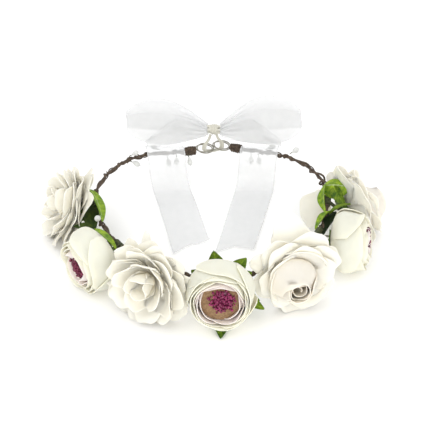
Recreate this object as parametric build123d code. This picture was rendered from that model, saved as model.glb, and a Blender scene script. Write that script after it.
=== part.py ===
"""Flower crown: an open band of twisted paper-wrapped wire that carries seven artificial flowers,
leaves and small white buds, and is closed at the back by a sheer ribbon tied through two eyelets.

Units are millimetres. +Z is up and +X is the wearer's left-to-right width; the front flower looks
along -Y and the bow is at +Y. The origin is the middle of the head opening, on the plane that the
crown lies on.
"""

from build123d import *
from math import cos, radians, sin, tan
import os

# ---------------------------------------------------------------- driving dimensions
BAND_Z = 26.0                # height of the wire band above the plane the crown lies on
MAIN_WIRE_R = 0.45           # steel core of the main strand
MAIN_STRAND_R = 0.95         # the same strand with its paper wrapping
TWIN_STRAND_R = 0.75         # second strand, laid against the first
STRAND_GAP = 0.1             # keeps neighbouring solids apart
TAPE_BORE_R = 2.1            # floral tape that binds each flower stem to the band
TAPE_R = 2.6
TAPE_LENGTH = 8.0
WHIPPING_R = 3.5             # thick wrapping where each end of the band turns into an eyelet
WHIPPING_LENGTH = 9.0
EYELET_RING_R = 6.2
EYELET_WIRE_R = 0.8
PETAL_T = 1.0                # thickness of a formed petal layer
STEM_R = 0.8
STEM_HOLE_R = 1.2
RIBBON_W = 31.0              # width of the organza ribbon
RIBBON_T = 0.8               # thickness of the plain ribbon solids
LEAF_T = 0.6

# Route of the band in plan, from the left eyelet round the front to the right eyelet.
BAND_ROUTE = [
    (-13.0, 82.0), (-24.0, 79.0), (-40.0, 77.5), (-56.0, 74.5), (-71.0, 64.5), (-82.5, 47.0),
    (-89.5, 25.0), (-89.0, 1.0), (-82.0, -22.0), (-70.0, -44.5), (-54.0, -64.0), (-32.0, -79.5),
    (-5.0, -87.0), (22.0, -85.5), (47.0, -74.0), (67.0, -55.0), (80.5, -31.0), (88.0, -5.0),
    (90.5, 21.0), (85.0, 46.0), (70.5, 66.0), (53.0, 76.5), (36.0, 80.5), (16.0, 86.5),
]
EYELETS = {"left": (-5.5, 84.0), "right": (8.5, 88.5)}

# Petal layers: name, height of the hole, belly radius and height, rim radius and height, lobes, notch.
CAMELLIA = [
    ("outer_petals", 7.0, 24.5, 19.0, 22.5, 36.5, 5, 5.5),
    ("middle_petals", 9.5, 20.0, 21.0, 18.0, 36.5, 5, 4.5),
    ("inner_petals", 12.0, 15.0, 22.5, 14.0, 35.0, 4, 4.0),
]
RUFFLE = [
    ("back_petals", 7.0, 17.0, 9.5, 26.5, 17.0, 8, 3.8),
    ("middle_petals", 9.5, 17.5, 15.0, 23.5, 27.0, 7, 4.0),
    ("front_petals", 12.0, 12.5, 18.5, 17.0, 34.0, 6, 3.5),
]
ROSE = [
    ("back_petals", 7.0, 18.0, 9.5, 28.5, 18.0, 6, 5.0),
    ("middle_petals", 9.5, 19.5, 15.5, 25.5, 29.0, 5, 5.0),
    ("front_petals", 12.0, 14.0, 19.5, 17.5, 34.5, 5, 4.0),
]
HEART_BASE = 15.0            # where the hearts and stamen domes start, along the flower's axis
HEART_R = 8.0
HEART_CENTRE = 22.0
STAMEN_DOME_R = 6.0
FILAMENTS = 12
FILAMENT_R = 0.6
FILAMENT_RING_R = 7.4
FILAMENT_LENGTH = 11.0
CALYX_BASE = 4.2
CALYX_HEIGHT = 1.8

# Flowers round the band: name, layers, where on the band in degrees, facing azimuth and elevation,
# size of the petals against the usual, and height of the lowest petal above the plane.
FLOWERS = [
    ("left_back_ruffle", RUFFLE, 178.0, 187.0, 5.0, 1.2, 0.0),
    ("left_camellia", CAMELLIA, 216.0, 221.0, -7.0, 1.0, 0.0),
    ("left_front_ruffle", RUFFLE, 246.2, 243.0, -12.0, 1.0, 0.0),
    ("front_camellia", CAMELLIA, 274.5, 269.0, 5.0, 1.0, 1.0),
    ("right_front_rose", ROSE, 307.0, 292.0, 0.0, 1.0, 0.0),
    ("right_camellia", CAMELLIA, 338.0, 348.0, 11.0, 1.0, 0.0),
    ("right_back_rose", ROSE, 369.0, 382.0, 10.0, 1.0, 0.0),
]

# Buds: where each leaves the band, and the way it points.
BUDS = [
    ((-66.5, 68.0, 28.0), (0.80, 0.10, 0.45)),
    ((-66.5, 67.6, 24.0), (0.80, 0.0, -0.40)),
    ((-42.0, 78.6, 27.4), (-0.80, 0.45, 0.15)),
    ((-36.0, 75.2, 24.6), (0.15, -0.30, -1.0)),
    ((-28.5, 76.5, 24.6), (0.0, -0.30, -1.0)),
    ((-19.0, 76.2, 25.0), (0.25, -0.45, -0.9)),
    ((32.5, 79.6, 24.6), (0.05, -0.30, -1.0)),
    ((38.5, 78.0, 24.6), (0.10, -0.30, -1.0)),
    ((44.5, 79.4, 27.4), (0.80, 0.40, 0.15)),
    ((64.0, 73.0, 27.5), (0.80, 0.45, 0.25)),
    ((-84.0, -24.0, 29.0), (0.10, -0.60, 0.80)),
]
BUD_LENGTH = 7.2
BUD_R = 2.0
BUD_STALK = 2.2
BUD_WIRE_R = 0.35

# Leaves beside the band: base point, way the leaf points, way its face looks, length and width.
LEFT_LEAVES = [
    ((-89.5, 10.0, 33.5), (0.25, -0.95, -0.12), (0.75, 0.1, 0.65), 31.0, 9.0),
    ((-85.0, 0.0, 22.0), (0.10, -0.95, -0.20), (0.8, -0.1, 0.5), 22.0, 8.0),
    ((-82.0, -35.0, 37.0), (0.66, -0.74, 0.05), (0.2, 0.2, 0.95), 27.0, 8.0),
    ((-84.0, -26.0, 26.0), (-1.0, 0.0, 0.12), (0.0, -0.5, 0.85), 15.0, 7.0),
]
RIGHT_LEAVES = [
    ((84.5, 19.0, 33.0), (0.6, -0.75, 0.25), (-0.2, -0.3, 0.95), 20.0, 11.0),
    ((85.5, 19.0, 30.5), (0.0, -0.95, -0.25), (-0.9, -0.1, 0.3), 28.0, 9.0),
    ((84.0, 2.0, 24.0), (-0.25, -0.95, -0.05), (-0.7, 0.2, 0.7), 28.0, 8.0),
    ((84.0, 30.0, 21.0), (-0.05, -0.75, -0.65), (-1.0, 0.1, 0.0), 15.0, 9.0),
]
SEPAL_ANGLES = (-24.0, 28.0, 68.0, 104.0, 160.0, 204.0)
SEPAL_ROOT = 9.5
SEPAL_LENGTH = 15.0
SEPAL_WIDTH = 11.0
SEPAL_HEIGHT = 4.0           # along the flower's axis, just behind its outer petals
UNDER_LEAF = ((8.0, -96.0, 0.31), (-0.03, -1.0, 0.0), (0.0, 0.0, 1.0), 27.0, 12.0)

# Bow: the knot sits above the eyelets, and each loop reaches out sideways from it.
KNOT_CENTRE = (2.0, 89.0, 41.0)
KNOT_SIZE = (11.0, 8.5, 11.0)
LOOP_REACH = {"left": 73.0, "right": 72.0}
LOOP_TOP = {"left": 60.5, "right": 63.0}
LOOP_BOTTOM = 32.0
LOOP_NEAR_Y = 82.0
LOOP_FAR_Y = 103.0
ROOT_FRONT_Y = 79.4          # plane of the ribbon strip that leads from the knot to each tail
TIE_R = 1.5

# Each tail crosses the band and drops to the plane, as corners in (Y, Z), then lies flat on it.
TAIL_HINGE = (77.6, 29.6)
TAIL_PROFILE = [(78.2, 30.4), (72.6, 29.2), (68.0, 16.0), (59.0, 1.0), (-34.0, 1.0)]
TAIL_PLAN = {
    "left": [(-54.0, 80.0), (-23.0, 80.0), (-14.5, 50.0), (-1.6, -10.0), (-13.5, -16.0),
             (-28.5, -28.0), (-45.5, 50.0)],
    "right": [(24.5, 80.0), (55.5, 80.0), (49.0, 50.0), (32.5, -22.0), (17.5, -15.0),
              (3.0, -26.0), (18.0, 50.0)],
}


# ---------------------------------------------------------------- small helpers
def bend_radii(points):
    """The largest arc that each corner of a route leaves room for."""
    radii = []
    for before, here, after in zip(points, points[1:], points[2:]):
        into, out = here - before, after - here
        turn = radians(into.get_angle(out))
        radii.append(0.45 * min(into.length, out.length) / tan(turn / 2))
    return radii


def rounded_route(points):
    """A path of straight runs joined by tangent arcs."""
    return FilletPolyline(*points, radius=bend_radii(points))


def tube(path, outer, bore=0.0):
    """A round tube or rod along a path."""
    section = Circle(outer)
    if bore:
        section -= Circle(bore)
    return sweep(Plane(origin=path @ 0, z_dir=path % 0) * section, path=path)


def rod(start, way, radius, length):
    """A straight round rod from start, along way."""
    plane = Plane(origin=start, z_dir=way)
    return plane * Cylinder(radius, length, align=(Align.CENTER, Align.CENTER, Align.MIN))


def band_points(z):
    return [Vector(x, y, z) for x, y in BAND_ROUTE]


def band_spot(degrees):
    """Point of the band at an angle round the opening, and the band's direction there."""
    path = rounded_route(band_points(BAND_Z))
    ray = Line((0, 0, BAND_Z), (140 * cos(radians(degrees)), 140 * sin(radians(degrees)), BAND_Z))
    spot = (path & ray).vertex().center()
    return spot, path.tangent_at(path.param_at_point(spot))


# ---------------------------------------------------------------- band
def build_band():
    main_z = BAND_Z - TWIN_STRAND_R
    twin_z = main_z + MAIN_STRAND_R + TWIN_STRAND_R + STRAND_GAP
    main = rounded_route(band_points(main_z))
    twin = rounded_route(band_points(twin_z))
    return {
        "band_core_wire": tube(main, MAIN_WIRE_R),
        "band_paper_wrap": tube(main, MAIN_STRAND_R, MAIN_WIRE_R + 0.02),
        "band_twin_strand": tube(twin, TWIN_STRAND_R),
    }


def build_band_end(side):
    """Eyelet ring, and the thick whipping that holds it to the end of the band."""
    x, y = EYELETS[side]
    ring = Pos(x, y, BAND_Z) * Torus(EYELET_RING_R, EYELET_WIRE_R)
    points = band_points(BAND_Z)
    end, inner = (points[0], points[1]) if side == "left" else (points[-1], points[-2])
    way = (inner - end).normalized()
    outer = rod(end + way * 0.3, way, WHIPPING_R, WHIPPING_LENGTH)
    bore = rod(end, way, TAPE_BORE_R, WHIPPING_LENGTH + 1)
    return {f"{side}_eyelet": ring, f"{side}_eyelet_whipping": outer - bore}


# ---------------------------------------------------------------- flowers
def petal_layer(hole_w, belly_r, belly_w, rim_r, rim_w, lobes, notch):
    """One formed layer of petals: a thin bowl about +Z, notched at the rim between its lobes."""
    hole = STEM_HOLE_R
    outside = ThreePointArc((hole, hole_w), (belly_r, belly_w), (rim_r, rim_w))
    inside = ThreePointArc(
        (hole, hole_w + PETAL_T),
        (belly_r - 0.6 * PETAL_T, belly_w + 0.8 * PETAL_T),
        (rim_r - PETAL_T, rim_w),
    )
    ends = [Line(outside @ 1, inside @ 1), Line(inside @ 0, outside @ 0)]
    bowl = revolve(Plane.XZ * make_face([outside, inside, *ends]), Axis.Z)
    cutters = [
        Rot(Z=(i + 0.5) * 360 / lobes) * Pos(rim_r, 0, rim_w) * Sphere(notch)
        for i in range(lobes)
    ]
    return bowl - cutters


def flower_heart():
    """Closed bud at the middle of a rose or a ruffled flower: a ball, cut flat at its base."""
    ball = Pos(0, 0, HEART_CENTRE) * Sphere(HEART_R)
    return split(ball, bisect_by=Plane.XY.offset(HEART_BASE), keep=Keep.TOP)


def flower_stamens():
    """Low dome with a ring of separate filaments round it."""
    ball = Pos(0, 0, HEART_BASE + 1) * Sphere(STAMEN_DOME_R)
    dome = split(ball, bisect_by=Plane.XY.offset(HEART_BASE), keep=Keep.TOP)
    filaments = [
        Rot(Z=i * 360 / FILAMENTS) * rod((FILAMENT_RING_R, 0, HEART_BASE + 1.5), (0.1, 0, 1),
                                         FILAMENT_R, FILAMENT_LENGTH)
        for i in range(FILAMENTS)
    ]
    return [dome, *filaments]


def calyx():
    """Green cup behind the petals, bored for the stem."""
    cup = Cone(3.5, 6.5, CALYX_HEIGHT, align=(Align.CENTER, Align.CENTER, Align.MIN))
    return Pos(0, 0, CALYX_BASE) * (cup - Cylinder(STEM_HOLE_R, 20))


def sized(layers, size):
    """The same petal layers with their radii scaled."""
    return [(name, hole_w, size * belly_r, belly_w, size * rim_r, rim_w, lobes, size * notch)
            for name, hole_w, belly_r, belly_w, rim_r, rim_w, lobes, notch in layers]


def flower_seat(place, facing, lift, layers, rest):
    """Frame of a flower on the band, raised or lowered until its petals rest at a height."""
    spot, along = band_spot(place)
    way = Vector(cos(radians(facing)) * cos(radians(lift)),
                 sin(radians(facing)) * cos(radians(lift)), sin(radians(lift)))
    across = Vector(-sin(radians(facing)), cos(radians(facing)), 0)
    seat = Plane(origin=spot, x_dir=across, z_dir=way)
    lowest = min((seat * petal_layer(*layer[1:])).bounding_box().min.Z for layer in layers)
    return Plane(origin=spot + Vector(0, 0, rest - lowest), x_dir=across, z_dir=way), spot, along


def build_flowers():
    nodes, calyxes, stems, tapes = {}, [], [], []
    for name, layers, place, facing, lift, size, rest in FLOWERS:
        petals = sized(layers, size)
        seat, spot, along = flower_seat(place, facing, lift, petals, rest)
        for layer in petals:
            nodes[f"{name}_{layer[0]}"] = seat * petal_layer(*layer[1:])
        if layers is CAMELLIA:
            nodes[f"{name}_stamens"] = Compound([seat * piece for piece in flower_stamens()])
        else:
            nodes[f"{name}_heart"] = seat * flower_heart()
        calyxes.append(seat * calyx())
        stems.append(seat * rod((0, 0, CALYX_BASE - 0.3), (0, 0, 1), STEM_R,
                                HEART_BASE - CALYX_BASE))
        start = spot - along * (TAPE_LENGTH / 2)
        tapes.append(rod(start, along, TAPE_R, TAPE_LENGTH)
                     - rod(start - along, along, TAPE_BORE_R, TAPE_LENGTH + 2))
        if name == "front_camellia":
            blades = [seat * blade for blade in sepals()]
            nodes["front_sepals"] = Compound([*blades, placed_leaf(*UNDER_LEAF)])
    nodes["flower_calyxes"] = Compound(calyxes)
    nodes["flower_stem_wires"] = Compound(stems)
    nodes["stem_tape_bindings"] = Compound(tapes)
    return nodes


# ---------------------------------------------------------------- leaves and buds
def leaf_blade(length, width):
    """Pointed leaf, lying along +X, flat in XY."""
    edges = [
        ThreePointArc((0, 0), (length * 0.45, width / 2), (length, 0)),
        ThreePointArc((length, 0), (length * 0.45, -width / 2), (0, 0)),
    ]
    return extrude(make_face(edges), LEAF_T / 2, both=True)


def sepals():
    """Green leaves that stand out behind the front camellia, about its own axis."""
    blades = []
    for angle in SEPAL_ANGLES:
        blade = leaf_blade(SEPAL_LENGTH, SEPAL_WIDTH)
        blades.append(Rot(Z=angle) * Pos(SEPAL_ROOT, 0, SEPAL_HEIGHT) * blade)
    return blades


def placed_leaf(base, way, face, length, width):
    way = Vector(*way).normalized()
    plane = Plane(origin=base, x_dir=way, z_dir=Vector(*face) - way * way.dot(Vector(*face)))
    return plane * leaf_blade(length, width)


def bud():
    """White bud along +Z: a ball that tapers to its stalk at the origin."""
    taper = BUD_LENGTH - 1.6 * BUD_R
    ball = Pos(0, 0, BUD_LENGTH - BUD_R) * Sphere(BUD_R)
    return ball + Cone(BUD_WIRE_R, 0.9 * BUD_R, taper, align=(Align.CENTER, Align.CENTER, Align.MIN))


def build_buds():
    buds, wires = [], []
    for start, way in BUDS:
        way = Vector(*way).normalized()
        wires.append(rod(Vector(*start), way, BUD_WIRE_R, BUD_STALK))
        buds.append(Plane(origin=Vector(*start) + way * BUD_STALK, z_dir=way) * bud())
    return {"white_buds": Compound(buds), "bud_stalk_wires": Compound(wires)}


# ---------------------------------------------------------------- ribbon
def bow_loop(side):
    """A loop of ribbon that stands on edge: a closed band in plan, narrowed towards the knot."""
    mirror = -1 if side == "left" else 1
    start = KNOT_CENTRE[0] + mirror * (KNOT_SIZE[0] / 2 + 0.1)
    tip = mirror * LOOP_REACH[side]
    shoulder = mirror * (LOOP_REACH[side] - 12)
    middle = (start + shoulder) / 2
    y_mid = (LOOP_NEAR_Y + LOOP_FAR_Y) / 2
    near_start, far_start = (start, y_mid - 5.2), (start, y_mid - 1.6)
    outline = make_face([
        ThreePointArc(near_start, (middle, LOOP_NEAR_Y), (shoulder, LOOP_NEAR_Y + 1.5)),
        ThreePointArc((shoulder, LOOP_NEAR_Y + 1.5), (tip, y_mid), (shoulder, LOOP_FAR_Y - 1.5)),
        ThreePointArc((shoulder, LOOP_FAR_Y - 1.5), (middle, LOOP_FAR_Y - 1), far_start),
        Line(far_start, near_start),
    ])
    band = outline - offset(outline, -RIBBON_T)
    wall = Pos(0, 0, LOOP_BOTTOM) * extrude(band, LOOP_TOP[side] - LOOP_BOTTOM)
    top, knot_z = LOOP_TOP[side], KNOT_CENTRE[2]
    wing = make_face([
        Line((start, knot_z - 4.5), (start, knot_z + 4.5)),
        ThreePointArc((start, knot_z + 4.5), (start + mirror * 13, top - 5), (middle, top)),
        ThreePointArc((middle, top), (tip - mirror * 5, top - 4.5), (tip + mirror, knot_z + 6)),
        ThreePointArc((tip + mirror, knot_z + 6), (shoulder, LOOP_BOTTOM + 2), (middle, LOOP_BOTTOM)),
        ThreePointArc((middle, LOOP_BOTTOM), (start + mirror * 14, LOOP_BOTTOM + 1.5),
                      (start, knot_z - 4.5)),
    ])
    side_view = extrude(Plane.XZ * wing, -200)
    return wall & side_view


def tail_root(side):
    """Ribbon strip from the knot, folded down on the diagonal to meet its tail at the band."""
    mirror = -1 if side == "left" else 1
    plan = TAIL_PLAN[side]
    inner, outer = (plan[1][0], plan[0][0]) if side == "left" else (plan[0][0], plan[1][0])
    start = KNOT_CENTRE[0] + mirror * (KNOT_SIZE[0] / 2 - 2)
    top = LOOP_TOP[side] - 3
    strip = make_face(Polyline(
        (start, 37.5), (start, 45), (inner, top), (outer, LOOP_BOTTOM + 3), (outer, TAIL_HINGE[1] + 1.4),
        (inner, TAIL_HINGE[1] + 1.4), (inner - mirror * 6, 34), close=True))
    return Pos(0, ROOT_FRONT_Y, 0) * extrude(Plane.XZ * strip, RIBBON_T / 2, both=True)


def ribbon_tail(side):
    """The free end of the ribbon: over the band, down to the plane, and flat to a notched end."""
    path = FilletPolyline(*TAIL_PROFILE, radius=[2.0, 12.0, 10.0])
    strip = trace(path, RIBBON_T)
    sheet = extrude(Plane.YZ * strip, 90, both=True)
    plan = Pos(0, 0, -5) * extrude(make_face(Polyline(*TAIL_PLAN[side], close=True)), 60)
    return sheet & plan


def build_ribbon():
    x, y, z = KNOT_CENTRE
    knot = Pos(x, y, z) * fillet(Box(*KNOT_SIZE).edges(), 3.0)
    (lx, ly), (rx, ry) = EYELETS["left"], EYELETS["right"]
    under, over = z - KNOT_SIZE[2] / 2 - 0.1, BAND_Z + 4.5
    route = [Vector(x - 2.6, y - 1.5, under), Vector(x - 2.6, y - 1.5, under - 3),
             Vector(lx, ly, over - 1.5), Vector(lx, ly, BAND_Z - 4), Vector(rx, ry, BAND_Z - 4),
             Vector(rx, ry, over - 1.5), Vector(x + 2.6, y, under - 3), Vector(x + 2.6, y, under)]
    tie = tube(FilletPolyline(*route, radius=bend_radii(route)), TIE_R)
    nodes = {"bow_knot": knot, "eyelet_tie": tie}
    for side in ("left", "right"):
        nodes[f"bow_loop_{side}"] = bow_loop(side)
        nodes[f"tail_root_{side}"] = tail_root(side)
        nodes[f"ribbon_tail_{side}"] = ribbon_tail(side)
    return nodes


# ---------------------------------------------------------------- export
def build():
    nodes = build_band()
    for side in ("left", "right"):
        nodes.update(build_band_end(side))
    nodes.update(build_flowers())
    nodes["left_leaves"] = Compound([placed_leaf(*row) for row in LEFT_LEAVES])
    nodes["right_leaves"] = Compound([placed_leaf(*row) for row in RIGHT_LEAVES])
    nodes.update(build_buds())
    nodes.update(build_ribbon())
    return nodes


os.makedirs("parts", exist_ok=True)
for node, shape in build().items():
    export_step(shape, f"parts/{node}.step")
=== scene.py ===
"""The looks of the flower crown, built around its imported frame.

Lengths are in millimetres unless a name ends in _m or _M, and every mesh is scaled to metres when it
is made. A flower is built in its own frame: "up" is the way it faces and "out" is away from its axis.
"""
import math

import bpy
import numpy as np
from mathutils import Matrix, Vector


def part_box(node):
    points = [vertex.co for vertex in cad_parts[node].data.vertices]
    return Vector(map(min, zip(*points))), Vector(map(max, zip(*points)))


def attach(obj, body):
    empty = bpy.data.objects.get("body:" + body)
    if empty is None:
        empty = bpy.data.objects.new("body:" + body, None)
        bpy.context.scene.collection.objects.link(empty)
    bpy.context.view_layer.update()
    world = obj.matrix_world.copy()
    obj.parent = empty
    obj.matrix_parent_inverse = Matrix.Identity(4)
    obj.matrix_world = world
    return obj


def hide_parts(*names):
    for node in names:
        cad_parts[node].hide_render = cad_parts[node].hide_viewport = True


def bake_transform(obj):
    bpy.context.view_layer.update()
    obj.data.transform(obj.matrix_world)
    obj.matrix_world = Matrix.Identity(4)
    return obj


MM = 0.001
TURN = 2 * np.pi
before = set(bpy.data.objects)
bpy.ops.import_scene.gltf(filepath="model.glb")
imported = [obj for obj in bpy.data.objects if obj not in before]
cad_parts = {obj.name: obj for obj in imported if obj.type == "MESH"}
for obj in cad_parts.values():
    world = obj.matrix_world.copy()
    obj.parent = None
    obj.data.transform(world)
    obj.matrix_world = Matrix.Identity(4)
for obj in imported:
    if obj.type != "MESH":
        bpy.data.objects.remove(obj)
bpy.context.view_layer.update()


# ----- camera, light and floor
CAMERA_TARGET = (3, -12, 26)
CAMERA_DISTANCE = 800.0
CAMERA_ELEVATION = 35.0
CAMERA_LENS_MM = 89.3
SKY_STRENGTH = 1.1
FLOOR_HALF_M = 4.0
# Area lights: place, the point each is aimed at, size and power in watts.
LIGHTS_M = {
    "key": ((-0.45, -0.35, 1), (0, 0, 0.02), 0.7, 1.4),
    "front": ((0.15, -1.3, 0.5), (0, 0, 0.03), 0.9, 7.8),
    "back": ((0.1, 0.9, 0.8), (0, 0.05, 0.03), 0.6, 0.6),
}


def aimed(name, data, place_m, way):
    """A camera or a light at a place, looking along a way."""
    obj = bpy.data.objects.new(name, data)
    obj.location = place_m
    obj.rotation_mode = "QUATERNION"
    obj.rotation_quaternion = way.to_track_quat("-Z", "Y")
    bpy.context.scene.collection.objects.link(obj)
    return obj


def add_camera():
    tilt = math.radians(CAMERA_ELEVATION)
    back = Vector((0, -math.cos(tilt), math.sin(tilt)))
    data = bpy.data.cameras.new("camera")
    data.lens = CAMERA_LENS_MM
    data.sensor_width = 36.0
    place_m = (Vector(CAMERA_TARGET) + back * CAMERA_DISTANCE) * MM
    bpy.context.scene.camera = aimed("camera", data, place_m, -back)


def add_studio():
    scene = bpy.context.scene
    scene.view_settings.view_transform = "Standard"
    world = bpy.data.worlds.new("studio")
    world.use_nodes = True
    settle(world.node_tree.nodes["Background"], Color=(1, 1, 1), Strength=SKY_STRENGTH)
    scene.world = world
    for name, (place_m, aim_m, size_m, watts) in LIGHTS_M.items():
        light = bpy.data.lights.new(name, "AREA")
        light.energy = watts
        light.size = size_m
        aimed(name, light, place_m, Vector(aim_m) - Vector(place_m))
    floor_mesh = bpy.data.meshes.new("floor")
    half = FLOOR_HALF_M
    corners = [(-half, -half, 0), (half, -half, 0), (half, half, 0), (-half, half, 0)]
    floor_mesh.from_pydata(corners, [], [(0, 1, 2, 3)])
    floor = bpy.data.objects.new("floor", floor_mesh)
    scene.collection.objects.link(floor)
    material, shader = new_material("floor")
    settle(shader, Base_Color=(0.97, 0.97, 0.97), Roughness=0.9)
    floor_mesh.materials.append(material)


# ----- materials
def new_material(name):
    material = bpy.data.materials.new(name)
    material.use_nodes = True
    return material, material.node_tree.nodes["Principled BSDF"]


def feed(socket, value):
    """Gives a socket another node's output, or a value of its own."""
    if hasattr(value, "links"):
        socket.id_data.links.new(value, socket)
    else:
        socket.default_value = (*value, 1) if socket.type == "RGBA" else value


def settle(shader, **values):
    """Gives a node the values named after its inputs, or after its own settings."""
    for key, value in values.items():
        socket = shader.inputs.get(key.replace("_", " "))
        if socket is None:
            setattr(shader, key, value)
        else:
            feed(socket, value)
    return shader


def node(material, kind, **values):
    return settle(material.node_tree.nodes.new(kind), **values)


def colour_sockets(sockets):
    """A mix node has sockets for every kind of value; these are the ones for colour."""
    return [s for s in sockets if s.type == "RGBA"]


def mixed(material, factor, low, high, **settings):
    """A colour between two, which are colours or sockets, by a factor that is a number or a socket."""
    mix = node(material, "ShaderNodeMix", data_type="RGBA", Factor=factor, **settings)
    for socket, value in zip(colour_sockets(mix.inputs), (low, high)):
        feed(socket, value)
    return colour_sockets(mix.outputs)[0]


def ramp(material, factor, low, high):
    """A factor stretched so that low becomes 0 and high becomes 1."""
    made = node(material, "ShaderNodeMapRange", Value=factor, From_Min=low, From_Max=high)
    return made.outputs["Result"]


def place(material):
    """Object coordinates in millimetres."""
    coords = node(material, "ShaderNodeTexCoord").outputs["Object"]
    return node(material, "ShaderNodeMapping", Vector=coords, Scale=(1 / MM,) * 3).outputs["Vector"]


def noise(material, vector, size_mm, detail=3, roughness=0.5):
    made = node(material, "ShaderNodeTexNoise", Vector=vector, Scale=1.0 / size_mm, Detail=detail,
                Roughness=roughness)
    return made.outputs["Fac"]


def bump(material, height, distance_mm, strength, **below):
    """A relief on the surface. Normal=, if given, is the relief that it's laid over."""
    made = node(material, "ShaderNodeBump", Height=height, Distance=distance_mm * MM, Strength=strength,
                **below)
    return made.outputs["Normal"]


def tone(material):
    """The tone painted on a mesh: 0 deep inside a petal or leaf, 1 at its rim. Petals are painted darker at
    low tones, partly as the cloth's tint and partly as painted shade, and below 0 a leaf is painted in
    shadow.
    """
    return node(material, "ShaderNodeAttribute", attribute_name="tone").outputs["Fac"]


def petal_material(name, deep, rim):
    """Pressed cloth: deep colour at the foot, partly the cloth's own tint and partly painted shade between
    the petals; rim colour at the edge, fine weave and soft creases.
    """
    material, shader = new_material(name)
    where = place(material)
    cloud = noise(material, where, 9, 2)
    # Towards the foot the colour darkens: partly the cloth's own tint, partly painted shade between petals.
    colour = mixed(material, ramp(material, tone(material), 0.1, 0.6), deep, rim)
    tinted = mixed(material, ramp(material, cloud, 0.3, 0.75), tuple(0.965 * c for c in rim), rim)
    clouded = mixed(material, 0.5, colour, tinted, blend_type="MULTIPLY")
    weave = bump(material, noise(material, where, 0.35, 2, 0.6), 0.05, 0.5)
    crease = bump(material, noise(material, where, 3.2, 3, 0.55), 0.45, 0.35, Normal=weave)
    settle(shader, Base_Color=clouded, Normal=crease, Roughness=0.78, Sheen_Weight=0.12,
           Subsurface_Weight=0.55, Subsurface_Radius=(1, 0.9, 0.75), Subsurface_Scale=4.0 * MM)
    return material


def leaf_material(name, dark, light):
    """Pressed green cloth with a pale midrib and side veins. A tone below 0 is painted shadow."""
    material, shader = new_material(name)
    where = place(material)
    patch = noise(material, where, 4)
    colour = mixed(material, ramp(material, patch, 0.3, 0.7), dark, light)
    pale = tuple(min(1, 0.6 * c + 0.2) for c in light)
    veined = mixed(material, ramp(material, tone(material), 0.55, 1), colour, pale)
    # A near-black green that paints shadow on leaves with a tone below 0.
    shadow = tuple(0.12 * c for c in dark)
    shaded = mixed(material, ramp(material, tone(material), -1, 0), shadow, veined)
    grain = bump(material, noise(material, where, 0.4, 2), 0.06, 0.6)
    settle(shader, Base_Color=shaded, Normal=grain, Roughness=0.65, Specular_IOR_Level=0.25)
    return material


def wrap_material(name, dark, light, stripe_mm=1.6):
    """Paper or tape wound in a spiral, with streaks and fibres; the raised ridges are painted paler, a
    painted highlight.
    """
    material, shader = new_material(name)
    where = place(material)
    streak = noise(material, where, stripe_mm, 4, 0.7)
    # Paler where the streaks stand highest: painted highlight on the ridges.
    colour = mixed(material, ramp(material, streak, 0.35, 0.7), dark, light)
    coarse = bump(material, streak, 0.35, 0.7)
    fibre = bump(material, noise(material, where, 0.3, 2), 0.08, 0.6, Normal=coarse)
    settle(shader, Base_Color=colour, Normal=fibre, Roughness=0.82)
    return material


def wire_material():
    """Drawn steel, a little dull and scratched."""
    material, shader = new_material("drawn_wire")
    scratch = noise(material, place(material), 0.5)
    colour = mixed(material, scratch, (0.17, 0.155, 0.125), (0.5, 0.48, 0.42))
    settle(shader, Base_Color=colour, Normal=bump(material, scratch, 0.03, 0.5), Metallic=0.8,
           Roughness=0.42)
    return material


def bud_material():
    """Pearly white paint over a moulded drop."""
    material, shader = new_material("pearl_bud")
    where = place(material)
    colour = mixed(material, noise(material, where, 2, 2), (0.5, 0.51, 0.5), (0.8, 0.8, 0.77))
    dents = bump(material, noise(material, where, 0.8, 2), 0.05, 0.4)
    settle(shader, Base_Color=colour, Normal=dents, Roughness=0.35, Coat_Weight=0.3, Coat_Roughness=0.2)
    return material


def stamen_material(name, dark, light, rough):
    """Beads, threads or felt in two flecked shades."""
    material, shader = new_material(name)
    where = place(material)
    colour = mixed(material, ramp(material, noise(material, where, 1.3, 2), 0.35, 0.65), dark, light)
    grain = bump(material, noise(material, where, 0.4, 2), 0.08, 0.5)
    settle(shader, Base_Color=colour, Normal=grain, Roughness=rough)
    return material


def organza_material(name, alpha, dim, bright):
    """Sheer woven ribbon: an even film, with its weave and faint puckers in the surface."""
    material, shader = new_material(name)
    where = place(material)
    colour = mixed(material, noise(material, where, 7, 2), dim, bright)
    weave = bump(material, noise(material, where, 0.3, 1), 0.03, 0.5)
    pucker = bump(material, noise(material, where, 5, 2), 0.5, 0.3, Normal=weave)
    settle(shader, Base_Color=colour, Normal=pucker, Alpha=alpha, Roughness=0.32, Sheen_Weight=0.2)
    return material


# ----- mesh tools
SHARP_EDGE_DEG = 50.0
TABLE_GAP = 0.4


def smooth(low, high, x):
    """A soft step: 0 up to low, 1 from high on."""
    t = np.clip((x - low) / (high - low), 0, 1)
    return t * t * (3 - 2 * t)


def on_circle(radius, angle, height):
    return np.stack([radius * np.cos(angle), radius * np.sin(angle), height + 0 * angle], -1)


def ring_angles(sides):
    return np.linspace(0, TURN, sides, endpoint=False)[None, :]


def unit(v):
    v = np.asarray(v, float)
    return v / np.maximum(np.linalg.norm(v, axis=-1, keepdims=True), 1e-9)


def above_table(points):
    """Petals that would reach below the table bend and lie on it instead."""
    soft = 1.2
    points = np.array(points, float)
    points[..., 2] = TABLE_GAP + soft * np.logaddexp(0, (points[..., 2] - TABLE_GAP) / soft)
    return points


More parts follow.
